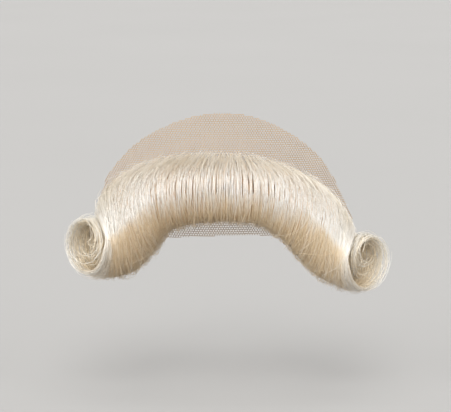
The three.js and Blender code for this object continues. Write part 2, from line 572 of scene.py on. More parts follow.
@dataclass(frozen=True)
class LaceStation:
    """The net's outline at one station across the face, in millimetres."""

    across: float
    bottom: float
    top: float


LACE_OUTLINE = (
    LaceStation(-46, -10, -5),
    LaceStation(-42, -13.5, 5),
    LaceStation(-33, -16.5, 15.5),
    LaceStation(-20, -17.5, 23.5),
    LaceStation(-8, -16.8, 27.3),
    LaceStation(4, -16.5, 27.6),
    LaceStation(16, -17, 24),
    LaceStation(27, -20, 17.3),
    LaceStation(35, -21.5, 9.5),
    LaceStation(42, -20, -3),
    LaceStation(46, -18, -12),
)


@dataclass
class LaceNet:
    """The bent panel of six-sided net that carries the hair."""

    face_radius: float = 100 * MM
    wall: float = 1.0 * MM
    pitch: float = 0.9 * MM
    thread: float = 0.13 * MM
    thread_spread: float = 0.2
    sway: float = 0.06 * MM
    sway_cells: float = 40
    sway_bend: float = 1.3
    sway_across: float = 0.8
    outline_steps: int = 400
    seed: int = 11
    finish: NetFinish = field(default_factory=NetFinish)

    def __post_init__(self) -> None:
        """Draws the outline."""
        shares = np.linspace(0, 1, self.outline_steps)
        rows = np.array([[row.across, row.bottom, row.top] for row in LACE_OUTLINE]) * MM
        stations = RowCurve(rows).at(shares)
        self.across, self.bottom, self.top = stations.T

    def bent(self, across: Array) -> Array:
        """Length round the bend from the middle to a place across the face."""
        return self.face_radius * np.arcsin(across / self.face_radius)

    def on_face(self, arc: Array, up: Array, proud: float) -> Array:
        """Points of the bent panel.

        Args:
            arc: lengths round the bend, from the middle.
            up: heights.
            proud: how far in front of the net's back.

        Returns:
            The points, on one more axis at the end.
        """
        turn = arc / self.face_radius
        reach = self.face_radius + proud
        return np.stack([reach * np.sin(turn), self.face_radius - reach * np.cos(turn), up], axis=-1)

    def outward(self, arc: Array) -> Array:
        """Directions of length one out of the net's front, at lengths round its bend."""
        turn = arc / self.face_radius
        return np.stack([np.sin(turn), -np.cos(turn), np.zeros_like(turn)], axis=-1)

    def inside(self, arc: Array, up: Array) -> Array:
        """Tells which places lie in the outline.

        Args:
            arc: lengths round the bend, from the middle.
            up: heights.

        Returns:
            True where the place is in the outline.
        """
        across = self.face_radius * np.sin(arc / self.face_radius)
        low = np.interp(across, self.across, self.bottom)
        high = np.interp(across, self.across, self.top)
        return (across > self.across[0]) & (across < self.across[-1]) & (up > low) & (up < high)

    def flat_area(self) -> float:
        """Area of the flat cut, in square metres."""
        return float(np.trapz(self.top - self.bottom, self.bent(self.across)))

    def flat_size(self) -> Pair:
        """Width and height of the flat cut."""
        return float(2 * self.bent(self.across[-1])), float(self.top.max() - self.bottom.min())

    def row_height(self) -> float:
        """Height from one row of net corners to the next of the same kind."""
        return self.pitch * math.sqrt(3) / 2

    def snapped(self, arc: Array, up: Array) -> tuple[Array, Array]:
        """Moves places to the net's nearest corners.

        Args:
            arc: lengths round the bend, from the middle.
            up: heights.

        Returns:
            The corners' lengths and heights.
        """
        row = np.round(up / self.row_height())
        shift = np.where(row % 2, 0.5, 0.0)
        return (np.round(arc / self.pitch - shift) + shift) * self.pitch, row * self.row_height()

    def threads(self) -> Paths:
        """Lays out the net's threads.

        Returns:
            One short path for each side of each cell.
        """
        rng = np.random.default_rng(self.seed)
        side = self.pitch / math.sqrt(3)
        width, height = self.flat_size()
        columns = int(width / self.pitch) + 2
        rows = int(height / self.row_height()) + 2
        column, row = np.meshgrid(np.arange(-columns, columns + 1), np.arange(-rows, rows + 1))
        corner_arc = ((column + np.where(row % 2, 0.5, 0.0)) * self.pitch).ravel()
        corner_up = (row * self.row_height()).ravel()
        angles = np.radians([90, 210, 330])
        start = np.stack([corner_arc, corner_up], axis=-1)[:, None, :]
        arm = side * np.stack([np.cos(angles), np.sin(angles)], axis=-1)[None, :, :]
        tips = start + arm
        ends = np.stack([np.broadcast_to(start, tips.shape), tips], axis=2).reshape(-1, 2, 2)
        kept = self.inside(ends[..., 0], ends[..., 1]).all(axis=1)
        ends = ends[kept]
        slow = 2 * math.pi / (self.sway_cells * self.pitch)
        bend = self.sway_bend * np.sin(slow * ends[..., 0])
        ends[..., 0] += self.sway * np.sin(slow * ends[..., 1] + bend)
        bend = np.sin(slow * ends[..., 1])
        ends[..., 1] += self.sway * np.sin(self.sway_across * slow * ends[..., 0] + bend)
        points = self.on_face(ends[..., 0], ends[..., 1], self.wall / 2)
        spread = rng.uniform(1 - self.thread_spread, 1 + self.thread_spread, (len(points), 1))
        radius = np.broadcast_to(self.thread * spread, (len(points), 2))
        plain = np.zeros(len(points))
        return Paths(points, radius, np.zeros_like(radius), plain, plain, plain)

    def build(self, tubes: PathTubes) -> Piece:
        """Makes the net and dresses it."""
        return tubes.make("lace_net", [self.threads()], self.finish.material())

    def declare(self, net: Piece) -> None:
        """Rides the net on the body and hides the solid it stands for. Its flat size and area are
        measured, but nothing uses them.

        Args:
            net: the net's object.
        """
        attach(net, ROOT_BODY)
        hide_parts("lace_base")
        self.flat_size()
        self.flat_area()


@dataclass(frozen=True)
class RollSection:
    """One section of the roll, in millimetres and degrees.

    x, y and z are the roll's centre, deep and tall its half sizes over the hair, turn the turn of its
    axis in plan, tip the roll's size at the tip as a share of its size at the front, root_x and root_z
    the place on the net where the section's hair is knotted, and lean the angle below level at which
    it leaves the net.
    """

    x: float
    y: float
    z: float
    deep: float
    tall: float
    turn: float
    tip: float
    root_x: float
    root_z: float
    lean: float

    def metres(self) -> list[float]:
        """The values in metres and degrees, in the order of RollColumn."""
        lengths = [value * MM for value in (self.x, self.y, self.z, self.deep, self.tall)]
        return [*lengths, self.turn, self.tip, self.root_x * MM, self.root_z * MM, self.lean]


class RollColumn:
    """Places of a section's values in a row of numbers."""

    CENTRE = slice(0, 3)
    DEEP = 3
    TALL = 4
    TURN = 5
    TIP = 6
    ROOT_X = 7
    ROOT_Z = 8
    LEAN = 9


ROLL_SECTIONS = (
    RollSection(-49.0, -7.8, -18.3, 10.4, 10.0, 46, 0.96, -42.6, -6.0, 20),
    RollSection(-44.9, -4.6, -19.6, 10.0, 10.9, 27, 0.91, -42.2, -3.8, 22),
    RollSection(-40.0, -3.6, -20.0, 9.5, 11.4, 9, 0.85, -41.2, -1.2, 24),
    RollSection(-35.0, -4.3, -18.1, 9.0, 11.5, -4, 0.8, -39.0, 1.8, 24),
    RollSection(-29.6, -5.8, -13.2, 8.6, 11.0, -10, 0.77, -35.5, 5.0, 24),
    RollSection(-22.8, -7.6, -5.2, 8.2, 10.2, -10, 0.76, -27.0, 9.0, 24),
    RollSection(-12.7, -9.2, -1.6, 8.0, 9.9, -6, 0.76, -14.0, 12.6, 22),
    RollSection(0.0, -9.8, -0.7, 8.0, 9.9, 0, 0.76, 0.0, 13.0, 20),
    RollSection(12.7, -9.2, -1.9, 8.0, 9.9, 6, 0.76, 13.5, 11.0, 22),
    RollSection(22.4, -7.6, -7.6, 8.2, 10.4, 10, 0.76, 26.0, 5.6, 24),
    RollSection(29.4, -5.8, -14.8, 8.6, 10.8, 10, 0.77, 33.0, 0.8, 24),
    RollSection(34.8, -4.3, -20.4, 9.0, 10.9, 4, 0.8, 37.2, -3.8, 24),
    RollSection(39.8, -3.6, -23.4, 9.3, 10.6, -9, 0.85, 39.8, -7.8, 24),
    RollSection(44.8, -4.6, -24.6, 9.8, 10.2, -28, 0.91, 41.2, -11.2, 22),
    RollSection(49.6, -7.8, -24.4, 10.3, 9.9, -46, 0.96, 42.0, -13.6, 20),
)


class HairPart(Enum):
    """The pieces that the hair is made in.

    Each has its piece, the solid it stands for, its ends along the roll, and how much finer its hairs are
    bent than those of the centre. The ends are shares of the way through the sections, from the left.
    """

    LEFT_CURL = ("left_curl_hair", "left_curl", 0.0, 0.272, 1.6)
    CENTRE_LEFT = ("centre_hair_left", "centre_roll", 0.272, 0.43, 1.0)
    CENTRE_MIDDLE = ("centre_hair_middle", "centre_roll", 0.43, 0.57, 1.0)
    CENTRE_RIGHT = ("centre_hair_right", "centre_roll", 0.57, 0.728, 1.0)
    RIGHT_CURL = ("right_curl_hair", "right_curl", 0.728, 1.0, 1.6)

    def __init__(self, piece: str, node: str, low: float, high: float, finer: float) -> None:
        """Names the five values.

        Args:
            piece: the piece's name.
            node: the solid that it stands for.
            low: where it starts.
            high: where it ends.
            finer: how many times as many points its hairs have round the roll.
        """
        self.piece = piece
        self.node = node
        self.low = low
        self.high = high
        self.finer = finer


@dataclass(frozen=True)
class HairStyle:
    """How one kind of hair lies on the roll. Lengths are in metres, angles in degrees.

    layers is the stretch of the wall's depth that it fills, tips the stretch round the roll where it
    ends, sway how far it wanders along the roll, steps its points down the fall and round the roll,
    proud how far it lies over the roll's surface, slide how far its tip hangs out past the ring, lift
    how far it hangs off the roll half way round, coil how far it winds into the roll by its tip, flare
    how far its tip stands off, hold how firmly the locks hold it, and pale how much it is spared the
    painted shade under the roll, in the gaps and inside the roll, so that it keeps its front's colour.
    """

    layers: Pair
    tips: Pair
    sway: float
    radius: float
    steps: tuple[int, int] = (6, 14)
    proud: float = 0.0
    slide: float = 0.0
    lift: float = 0.0
    coil: float = 0.0
    flare: float = 0.0
    hold: float = 1.0
    pale: float = 0.0


class HairKind(Enum):
    """The kinds of hair."""

    OUTER = HairStyle((0.0, 0.45), (335, 428), 0.3 * MM, 0.053 * MM, slide=3.0 * MM)
    INNER = HairStyle((0.45, 1.0), (335, 428), 0.2 * MM, 0.068 * MM, steps=(4, 9), slide=3.0 * MM)
    SPIRAL = HairStyle((0.3, 1.0), (430, 660), 0.7 * MM, 0.06 * MM, steps=(5, 20), slide=3.0 * MM,
                       coil=7.5 * MM, hold=0.5)
    RING_LOOP = HairStyle((0.0, 0.4), (250, 450), 0.8 * MM, 0.058 * MM, steps=(6, 20), proud=0.1 * MM,
                          slide=1.6 * MM, lift=0.8 * MM, flare=2.2 * MM, hold=0.3, pale=1.0)
    STRAY = HairStyle((0.0, 0.0), (200, 400), 1.0 * MM, 0.045 * MM, steps=(6, 20), proud=0.2 * MM,
                      lift=1.0 * MM, flare=0.8 * MM, hold=0.35, pale=0.35)
    HANGING = HairStyle((0.0, 0.1), (230, 400), 1.2 * MM, 0.05 * MM, steps=(6, 20), proud=0.2 * MM,
                        lift=1.9 * MM, flare=0.8 * MM, hold=0.1, pale=0.7)
    TUFT = HairStyle((0.0, 0.3), (150, 225), 0.4 * MM, 0.05 * MM, lift=0.2 * MM, flare=2.6 * MM,
                     pale=0.3)


@dataclass(frozen=True)
class RingHairs:
    """So many loose hairs of one kind at each ring, from a near to a far length from its end."""

    kind: HairKind
    near: float
    far: float
    number: int


RING_HAIRS = (
    RingHairs(HairKind.RING_LOOP, 0.0, 6 * MM, 60),
    RingHairs(HairKind.SPIRAL, 0.3 * MM, 7 * MM, 60),
    RingHairs(HairKind.HANGING, 0.0, 30 * MM, 40),
)


@dataclass(frozen=True)
class FringeStyle:
    """How the short broken hairs along the root line lie.

    Pairs are the least and the most, apart from rise, which is a mean and a spread.
    """

    number: int = 700
    stretch: Pair = (0.06, 0.94)
    depth: float = 0.12
    rise: Pair = (0.35, 0.4)
    comb: float = 0.5
    comb_spread: float = 0.45
    reach: Pair = (1.5 * MM, 7.5 * MM)
    droop: Pair = (0.2, 0.8)
    steps: int = 7
    radius: float = 0.055 * MM
    taper: float = 0.6
    colour_reach: float = 0.25
    tone: Pair = (0.6, 1.0)


@dataclass(frozen=True)
class Locks:
    """Locks side by side along the roll and over each other in its wall.

    Each has its own pull, height, tone, phase and drift, in rows of as many as there are levels.
    """

    SHARED_FORCE = 0.6
    OWN_FORCE = 0.4

    edges: Array
    levels: int
    force: Array
    height: Array
    tone: Array
    phase: Array
    drift: Array

    @staticmethod
    def laid(length: float, widths: Pair, levels: int, swell: float, shade: float,
             rng: Random) -> "Locks":
        """Parts a length into locks of uneven width.

        Args:
            length: the length.
            widths: the narrowest and the widest lock.
            levels: how many lie over each other.
            swell: how much the locks' heights differ.
            shade: how much their tones differ.
            rng: the random source.

        Returns:
            The locks.
        """
        across = int(length / widths[0]) + 2
        edges = np.concatenate([[0.0], np.cumsum(rng.uniform(*widths, across))])
        number = across * levels
        return Locks(
            edges=edges,
            levels=levels,
            force=Locks.SHARED_FORCE * np.repeat(rng.random(across), levels)
            + Locks.OWN_FORCE * rng.random(number),
            height=rng.normal(0, swell, number),
            tone=rng.normal(0, shade, number),
            phase=rng.uniform(0, 2 * math.pi, number),
            drift=rng.normal(0, 1, number),
        )

    def across(self, way: Array) -> Array:
        """Which stretch along the roll each place belongs to."""
        return np.clip(np.searchsorted(self.edges, way, side="right") - 1, 0, len(self.edges) - 2)

    def index(self, way: Array, layer: Array) -> Array:
        """Which lock each hair belongs to.

        Args:
            way: lengths along the roll.
            layer: depths in the wall, from 0 to 1.

        Returns:
            Places in the locks' values.
        """
        level = np.minimum((layer * self.levels).astype(int), self.levels - 1)
        return self.across(way) * self.levels + level

    def inward(self, way: Array, layer: Array) -> Array:
        """Way from each hair to the middle of its lock, as far as that lock pulls.

        Args:
            way: lengths along the roll.
            layer: depths in the wall, from 0 to 1.

        Returns:
            Lengths along the roll, positive to the right.
        """
        stretch = self.across(way)
        middle = (self.edges[stretch] + self.edges[stretch + 1]) / 2
        return (middle - way) * self.force[self.index(way, layer)]


@dataclass(frozen=True)
class RollFrame:
    """The roll's centre, directions and sizes at many places along it."""

    centre: Array
    along: Array
    forward: Array
    rise: Array
    deep: Array
    tall: Array
    tip: Array


@dataclass(frozen=True)
class Strands:
    """What is drawn for many hairs before their paths are made."""

    way: Array
    layer: Array
    side: Array
    off_middle: Array
    coarse_pull: Array
    fine_pull: Array
    coarse_height: Array
    coarse_end: Array
    fine_height: Array
    phase: Array
    drift: Array
    tone: Array
    from_end: Array
    inside: Array


@dataclass
class HairRoll:
    """The moustache's hair: its roll, the locks that it parts into and the hairs themselves.

    Angles are degrees from the roll's top over its front. Stretches are shares of the roll's length off
    its middle. What a name calls under is lost from the top layer to the innermost one.
    """

    net: LaceNet
    curve_steps: int = 1401
    section_tilt: float = 0.35
    join_angle: float = 66
    join_spread: float = 2.5
    full_angle: float = 392
    front_wall: float = 2.0 * MM
    tip_wall: float = 1.3 * MM
    end_wall: float = 0.32
    end_wall_within: float = 8.0 * MM
    tuck_angle: float = 372
    tuck_within: float = 60
    tuck: float = 4.5 * MM
    tuck_coiled: Pair = (0.1, 1.0)
    rim: float = 0.7 * MM
    rim_within: float = 1.5 * MM
    loose_end: float = 5.0 * MM
    loose_end_gain: float = 2.0
    wander: float = 1.7 * MM
    wander_within: float = 5.0 * MM
    wander_waves: float = 6.0
    slide_power: float = 0.4
    ring_stretch: Pair = (0.36, 0.5)
    comb: float = 0.16
    comb_full: float = 0.38
    comb_at_ring: float = 0.5
    comb_spread: Pair = (0.5, 1.1)
    comb_under: float = 0.7
    sideways: float = 0.75
    sideways_stretch: Pair = (0.03, 0.3)
    sideways_at_ring: float = 0.45
    sideways_under: float = 0.6
    bundle_lean: float = 0.1
    hair_lean: float = 0.12
    lean_under: float = 0.8
    root_reach: float = 0.42
    root_reach_spread: Pair = (0.85, 1.15)
    root_spread: float = 0.65 * MM
    root_sideways: float = 0.45 * MM
    root_scatter: float = 0.05 * MM
    root_drop: float = 10.5 * MM
    root_drop_ends: float = 5.0 * MM
    root_drop_stretch: Pair = (0.25, 0.45)
    coarse_widths: Pair = (0.7 * MM, 2.6 * MM)
    coarse_pull: float = 0.6
    coarse_swell: float = 0.07 * MM
    coarse_shade: float = 0.06
    coarse_open: Pair = (82, 122)
    coarse_opening: float = 0.94
    coarse_power: float = 0.6
    wing_stretch: Pair = (0.12, 0.3)
    wing_opening: float = 0.6
    fine_widths: Pair = (0.2 * MM, 0.7 * MM)
    fine_levels: int = 7
    fine_pull: float = 0.85
    fine_swell: float = 0.035 * MM
    fine_shade: float = 0.16
    fine_open: float = 250
    fine_opening: float = 0.55
    fine_ripple: float = 0.03 * MM
    fine_ripple_under: float = 0.6
    fine_drift: float = 0.1 * MM
    drift_waves: float = 6.0
    ripples_each_turn: float = 7.0
    own_ripple: float = 0.03 * MM
    own_waves: float = 7.0
    sway_waves: float = 5.0
    loose_share: float = 0.14
    loose_sway: float = 4.0
    loose_lift: float = 0.2 * MM
    turn_power: float = 1.25
    settled: float = 0.12
    lift_end: float = 0.9
    flare_power: int = 4
    coil_start: float = 0.4
    coil_rise: float = 0.32
    tone: Pair = (0.7, 0.14)
    # The colour_ values turn each hair's angle round the roll into its along value, which places the
    # painted shade under the roll. colour_shift makes that shade's edge ragged, and colour_wings starts it
    # sooner in the wings.
    colour_fall: float = 0.3
    colour_turn: float = 362
    colour_shift: float = 300.0
    colour_wings: float = 0.14
    colour_stretch: Pair = (0.15, 0.36)
    outer_each_mm: float = 34
    inner_each_mm: float = 15
    outer_at_ends: float = 0.12
    inner_at_ends: float = 0.05
    thin_within: float = 3.5 * MM
    thicker_ends: float = 0.45
    radius_spread: Pair = (0.8, 1.2)
    root_thin: float = 0.2
    root_thin_within: float = 0.1
    tip_thin: float = 0.45
    tip_thin_within: float = 0.15
    strays: int = 480
    hanging: int = 60
    tufts: int = 170
    tuft_shares: Pair = (0.2, 0.8)
    knot_tries: int = 6000
    knot_digits: int = 7
    knot_proud: float = 0.7
    knot_sizes: Pair = (0.75, 1.25)
    knot_radius: float = 0.2 * MM
    seed: int = 5
    broken: FringeStyle = field(default_factory=FringeStyle)
    finish: HairFinish = field(default_factory=HairFinish)

    def __post_init__(self) -> None:
        """Draws the roll's curves, measures its length and parts it into locks."""
        self.sections = RowCurve(np.array([row.metres() for row in ROLL_SECTIONS]))
        self.shares = np.linspace(0, 1, self.curve_steps)
        line = self.sections.at(self.shares)[:, RollColumn.CENTRE]
        steps = np.linalg.norm(np.diff(line, axis=0), axis=1)
        self.lengths = np.concatenate([[0.0], np.cumsum(steps)])
        self.length = float(self.lengths[-1])
        self.rng = np.random.default_rng(self.seed)
        self.coarse = Locks.laid(self.length, self.coarse_widths, 1, self.coarse_swell, self.coarse_shade,
                                 self.rng)
        self.fine = Locks.laid(self.length, self.fine_widths, self.fine_levels, self.fine_swell,
                               self.fine_shade, self.rng)

    def share_at(self, way: Array) -> Array:
        """Share of the way through the sections at a length along the roll."""
        return np.interp(way, self.lengths, self.shares)

    def way_at(self, share: float) -> float:
        """Length along the roll at a share of the way through the sections."""
        return float(np.interp(share, self.shares, self.lengths))

    def frame_at(self, way: Array) -> RollFrame:
        """The roll's frame.

        Args:
            way: lengths along the roll.

        Returns:
            The frame at each of them.
        """
        share = self.share_at(way)
        here = self.sections.at(share)
        near = 0.5 / len(self.shares)
        ahead = self.sections.at(share + near)[..., RollColumn.CENTRE]
        behind = self.sections.at(share - near)[..., RollColumn.CENTRE]
        slope = np.arcsin(np.clip(unit(ahead - behind)[..., 2], -1, 1))
        tilt = self.section_tilt * slope
        turn = np.radians(here[..., RollColumn.TURN])
        level = np.cos(tilt)
        along = np.stack([level * np.cos(turn), level * np.sin(turn), np.sin(tilt)], axis=-1)
        rise = unit(UP - along * along[..., 2:])
        sizes = (here[..., column] for column in (RollColumn.DEEP, RollColumn.TALL, RollColumn.TIP))
        return RollFrame(here[..., RollColumn.CENTRE], along, np.cross(along, rise), rise, *sizes)

    def around(self, way: Array, degrees: Array, inset: Array, tucked: Any = 1.0) -> Array:
        """Points round the roll.

        Args:
            way: lengths along the roll.
            degrees: angles from the roll's top over its front.
            inset: how far under its outer surface.
            tucked: share of the tuck that the last turn takes.

        Returns:
            The points, on one more axis at the end.
        """
        at = self.frame_at(way)
        turned = (degrees - self.join_angle) / (self.full_angle - self.join_angle)
        scale = 1 - (1 - at.tip) * np.minimum(turned, 1)
        past = np.maximum(degrees - self.tuck_angle, 0) / self.tuck_within
        under = inset + tucked * self.tuck * (1 - np.exp(-past))
        angle = np.radians(degrees)
        out = ((at.deep * scale - under) * np.sin(angle))[..., None]
        high = ((at.tall * scale - under) * np.cos(angle))[..., None]
        return at.centre + out * at.forward + high * at.rise

    def combed_root(self, way: Array, layer: Array, rng: Random) -> Array:
        """Where on the root line the hair of a place on the roll starts: nearer the middle in the wings.

        Args:
            way: lengths along the roll.
            layer: the hairs' layers, 0 on top and 1 inside.
            rng: the random source.

        Returns:
            Lengths along the roll whose sections give the roots.
        """
        off = way / self.length - 0.5
        eased = 1 - self.comb_at_ring * ease(*self.ring_stretch, np.abs(off))
        reach = np.minimum(np.abs(off) / self.comb_full, 1) * eased
        shift = self.comb * self.length * reach * (1 - self.comb_under * layer)
        return way - np.sign(off) * shift * rng.uniform(*self.comb_spread, way.shape)

    def knots_for(self, way: Array, layer: Array, rng: Random) -> tuple[Array, Array, Array]:
        """Finds the net corners that hairs are knotted to.

        Args:
            way: lengths along the roll where the hairs end up.
            layer: their layers, 0 on top and 1 inside.
            rng: the random source.

        Returns:
            The corners' lengths round the net, their heights, and the angles below level at which the
            hairs leave.
        """
        root = self.sections.at(self.share_at(self.combed_root(way, layer, rng)))
        ends = ease(*self.root_drop_stretch, np.abs(way / self.length - 0.5))
        drop = self.root_drop * (1 - ends) + self.root_drop_ends * ends
        arc = self.net.bent(root[..., RollColumn.ROOT_X]) + rng.normal(0, self.root_sideways, way.shape)
        up = root[..., RollColumn.ROOT_Z] - layer * drop + rng.normal(0, self.root_spread, way.shape)
        arc, up = self.net.snapped(arc, up)
        return arc, up, root[..., RollColumn.LEAN] * (1 - self.lean_under * layer)

    def draw(self, way: Array, style: HairStyle, rng: Random) -> Strands:
        """Draws what differs from hair to hair.

        Args:
            way: lengths along the roll where the hairs lie.
            style: how they lie.
            rng: the random source.

        Returns:
            The hairs' own values.
        """
        layer = rng.uniform(*style.layers, len(way))
        off_middle = np.abs(way / self.length - 0.5)
        from_end = np.minimum(way, self.length - way)
        side = np.sign(way - self.length / 2)
        rounding = 1 - np.sqrt(np.maximum(1 - (2 * layer - 1) ** 2, 0))
        rounded = way - side * self.rim * rounding * np.exp(-from_end / self.rim_within)
        coarse, fine = self.coarse.index(way, layer), self.fine.index(way, layer)
        wings = 1 - self.wing_opening * ease(*self.wing_stretch, off_middle)
        hold = style.hold * (1 - layer) ** self.coarse_power
        loose = style.hold * (1 + self.loose_end_gain * np.exp(-from_end / self.loose_end))
        tone = rng.normal(*self.tone, len(way)) + self.coarse.tone[coarse] + self.fine.tone[fine]
        return Strands(
            way=rounded,
            layer=layer,
            side=side,
            off_middle=off_middle,
            coarse_pull=self.coarse.inward(way, layer) * self.coarse_pull * hold * wings,
            fine_pull=self.fine.inward(way, layer) * self.fine_pull * style.hold,
            coarse_height=self.coarse.height[coarse] * hold,
            coarse_end=np.interp(np.sin(self.coarse.phase[coarse]), (-1, 1), self.coarse_open),
            fine_height=self.fine.height[fine] * loose,
            phase=self.fine.phase[fine],
            drift=self.fine.drift[fine] * self.fine_drift * loose,
            tone=np.clip(tone, 0, 1),
            from_end=from_end,
            inside=1 - np.exp(-from_end / self.loose_end),
        )

    def fall(self, strands: Strands, style: HairStyle, join_degrees: Array, join_inset: Array,
             rng: Random) -> Array:
        """Makes the first stretch of the hairs, from the knots to the roll.

        Args:
            strands: the hairs.
            style: how they lie.
            join_degrees: where they meet the roll, round it.
            join_inset: how far under the roll's surface they meet it.
            rng: the random source.

        Returns:
            The stretches' points, with the meeting points left out.
        """
        arc, up, lean = self.knots_for(strands.way, strands.layer, rng)
        root = self.net.on_face(arc, up, self.net.wall / 2 + self.net.thread)
        root += rng.normal(0, self.root_scatter, root.shape)
        level = np.radians(lean)[:, None]
        leaving = self.net.outward(arc) * np.cos(level) - UP * np.sin(level)
        combed = self.sideways * ease(*self.sideways_stretch, strands.off_middle)
        combed *= 1 - self.sideways_under * strands.layer
        combed *= 1 - self.sideways_at_ring * ease(*self.ring_stretch, strands.off_middle)
        leaving[:, 0] += strands.side * combed + self.bundle_lean * np.sin(strands.phase)
        leaving = unit(leaving + rng.normal(0, self.hair_lean, leaving.shape))
        place = strands.way + strands.coarse_pull + strands.fine_pull
        join = self.around(place, join_degrees, join_inset)
        arriving = unit(self.around(place, join_degrees + 1.0, join_inset) - join)
        span = np.linalg.norm(join - root, axis=1) * rng.uniform(*self.root_reach_spread, len(root))
        reach = (self.root_reach * span)[:, None]
        part = (np.arange(style.steps[0]) / style.steps[0])[None, :, None]
        ends = [root, root + leaving * reach, join - arriving * reach, join]
        shares = [(1 - part) ** 3, 3 * part * (1 - part) ** 2, 3 * part ** 2 * (1 - part), part ** 3]
        return sum(share * end[:, None, :] for share, end in zip(shares, ends))

    def roll(self, strands: Strands, style: HairStyle, join_degrees: Array, depth: Array,
             rng: Random) -> tuple[Array, Array]:
        """Makes the second stretch of the hairs, round the roll to the tips.

        Args:
            strands: the hairs.
            style: how they lie.
            join_degrees: where they meet the roll, round it.
            depth: how far under the roll's surface they lie at its front.
            rng: the random source.

        Returns:
            The stretches' points and their angles round the roll.
        """
        number = len(strands.way)
        layer, bundle = strands.layer[:, None], strands.phase[:, None]
        turn = np.linspace(0, 1, style.steps[1])[None, :] ** self.turn_power
        start = join_degrees[:, None]
        degrees = start + (rng.uniform(*style.tips, (number, 1)) - start) * turn
        begun = ease(0.0, self.settled, turn)
        opened = 1 - self.coarse_opening * ease(self.join_angle, strands.coarse_end[:, None], degrees)
        grouped = 1 - self.fine_opening * ease(self.join_angle, self.fine_open, degrees)

        phase = rng.uniform(0, 2 * math.pi, (number, 2))
        wave = np.sin(phase[:, :1] + turn * self.sway_waves) - np.sin(phase[:, :1])
        loose = (rng.random((number, 1)) < self.loose_share) * (1 - layer)
        sway = style.sway * (1 + self.loose_sway * loose) * rng.normal(0, 1, (number, 1)) * wave
        drift = strands.drift[:, None] * np.sin(bundle + turn * self.drift_waves) * begun
        pull = strands.coarse_pull[:, None] * opened + strands.fine_pull[:, None] * grouped
        place = strands.way[:, None] + pull + sway + drift

        own_ripple = np.sin(phase[:, 1:] + turn * self.own_waves) - np.sin(phase[:, 1:])
        shared_ripple = np.sin(bundle + np.radians(degrees) * self.ripples_each_turn) * begun
        shared_ripple = self.fine_ripple * shared_ripple * (1 - self.fine_ripple_under * layer)
        ripple = self.own_ripple * own_ripple + shared_ripple
        hung = np.sin(np.pi * np.clip(turn / self.lift_end, 0, 1)) ** 2
        lift = style.lift * rng.random((number, 1)) * hung
        lift = lift + style.flare * rng.random((number, 1)) * turn ** self.flare_power
        lift = lift + self.loose_lift * loose * begun
        swell = strands.coarse_height[:, None] * opened + strands.fine_height[:, None] * grouped
        wall = 1 + (self.tip_wall / self.front_wall - 1) * turn
        coil = style.coil * rng.random((number, 1)) * ease(self.coil_start, 1.0, turn)
        tucked = rng.uniform(*self.tuck_coiled, (number, 1)) if style.coil else 1.0
        inset = depth[:, None] * wall - swell + ripple - lift + coil
        points = self.around(place, degrees, inset, tucked)
        at = self.frame_at(place)
        points = points + at.rise * (coil * self.coil_rise)[..., None]
        away = strands.side[:, None, None] * at.along
        near_end = np.exp(-strands.from_end / self.wander_within)[:, None]
        wander = self.wander * near_end * np.sin(phase[:, :1] + turn * self.wander_waves) * begun
        slide = style.slide * rng.random((number, 1)) * near_end ** self.slide_power * turn ** 2
        return points + away * (wander + slide)[..., None], degrees

    def grow(self, way: Array, kind: HairKind, rng: Random, finer: float = 1.0) -> Paths:
        """Grows hairs.

        Args:
            way: lengths along the roll where the hairs lie.
            kind: how they lie.
            rng: the random source.
            finer: how many times as many points they have round the roll.

        Returns:
            Their paths, from the knots round the roll to the tips.
        """
        style = replace(kind.value, steps=(kind.value.steps[0], round(kind.value.steps[1] * finer)))
        number = len(way)
        strands = self.draw(way, style, rng)
        thinned = 1 - (1 - self.end_wall) * np.exp(-strands.from_end / self.end_wall_within)
        depth = strands.layer * self.front_wall * thinned - style.proud
        join_degrees = self.join_angle + rng.normal(0, self.join_spread, number)
        join_inset = depth - strands.coarse_height - strands.fine_height
        fall = self.fall(strands, style, join_degrees, join_inset, rng)
        roll, degrees = self.roll(strands, style, join_degrees, depth, rng)
        points = np.concatenate([fall, roll], axis=1)
        steps = np.linspace(0, 1, points.shape[1])
        fallen = np.broadcast_to(np.arange(style.steps[0]) / style.steps[0], fall.shape[:2])
        # The along values place the painted shade: it starts sooner in the wings and has a ragged edge.
        wings = self.colour_wings * ease(*self.colour_stretch, strands.off_middle)
        shift = self.colour_shift * strands.drift + wings
        rolled = (degrees - self.join_angle) / self.colour_turn + shift[:, None]
        along = np.concatenate([fallen * self.colour_fall,
                                self.colour_fall + (1 - self.colour_fall) * rolled], axis=1)
        taper = 1 - self.root_thin + self.root_thin * ease(0.0, self.root_thin_within, steps)
        taper -= self.tip_thin * ease(1 - self.tip_thin_within, 1.0, steps)
        thicker = 1 + self.thicker_ends * np.exp(-strands.from_end / self.thin_within)
        own = rng.uniform(*self.radius_spread, (number, 1))
        radius = style.radius * thicker[:, None] * own * taper[None, :]
        # The pale share spares these hairs the painted shade.
        return Paths(points, radius, along, strands.tone, strands.layer, strands.inside * (1 - style.pale))

